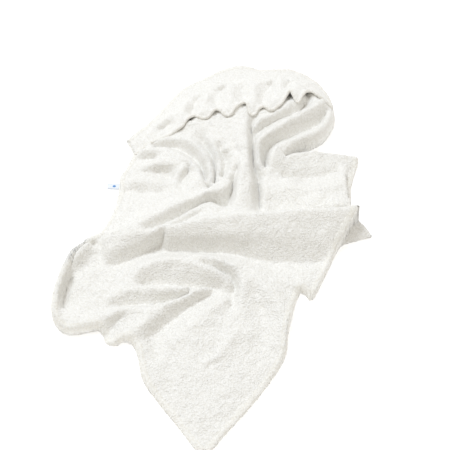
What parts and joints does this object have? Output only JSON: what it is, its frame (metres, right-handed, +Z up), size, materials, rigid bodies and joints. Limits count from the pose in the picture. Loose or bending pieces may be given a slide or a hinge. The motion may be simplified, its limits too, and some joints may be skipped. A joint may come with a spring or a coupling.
{
  "type": "hooded baby towel",
  "caption": "Square looped-cotton baby towel with an elastic-edged hood sewn across one corner, lying loosely folded.",
  "frame": {"origin": "on the surface the towel lies on, under the middle of its plan outline", "axes": "+Z up, +Y from the towel's front corner to the hood, +X to the towel's right corner"},
  "size_m": [0.5792, 0.8536, 0.062],
  "materials": {
    "terry": "looped cotton pile, matt",
    "hem_tape": "turned and flattened terry, matt",
    "thread": "soft sheen",
    "elastic": "matt",
    "label": "satin"
  },
  "bodies": {
    "towel": {"towel_panel": "terry", "hem_left_side": "hem_tape", "hem_front_left": "hem_tape", "hem_front_right": "hem_tape", "hem_right_side": "hem_tape", "hem_thread_left_side": "thread", "hem_thread_front_left": "thread", "hem_thread_front_right": "thread", "hem_thread_right_side": "thread"},
    "hood_end": {"hood_corner_panel": "terry", "hood_panel": "terry", "hood_casing": "terry", "hood_elastic": "elastic", "hem_hood_left": "hem_tape", "hem_hood_right": "hem_tape", "hem_thread_hood_left": "thread", "hem_thread_hood_right": "thread"},
    "label": {"care_label": "label"}
  },
  "joints": [
    {"name": "hood_lift", "type": "hinge", "parent": "towel", "child": "hood_end", "pos_m": [0.027, 0.21427, 0.0136], "axis": [1, 0, 0], "range_deg": [0, 75]},
    {"name": "label_flip", "type": "hinge", "parent": "towel", "child": "label", "pos_m": [-0.19049, 0.1195, 0.003], "axis": [0, 1, 0], "range_deg": [0, 90]}
  ]
}
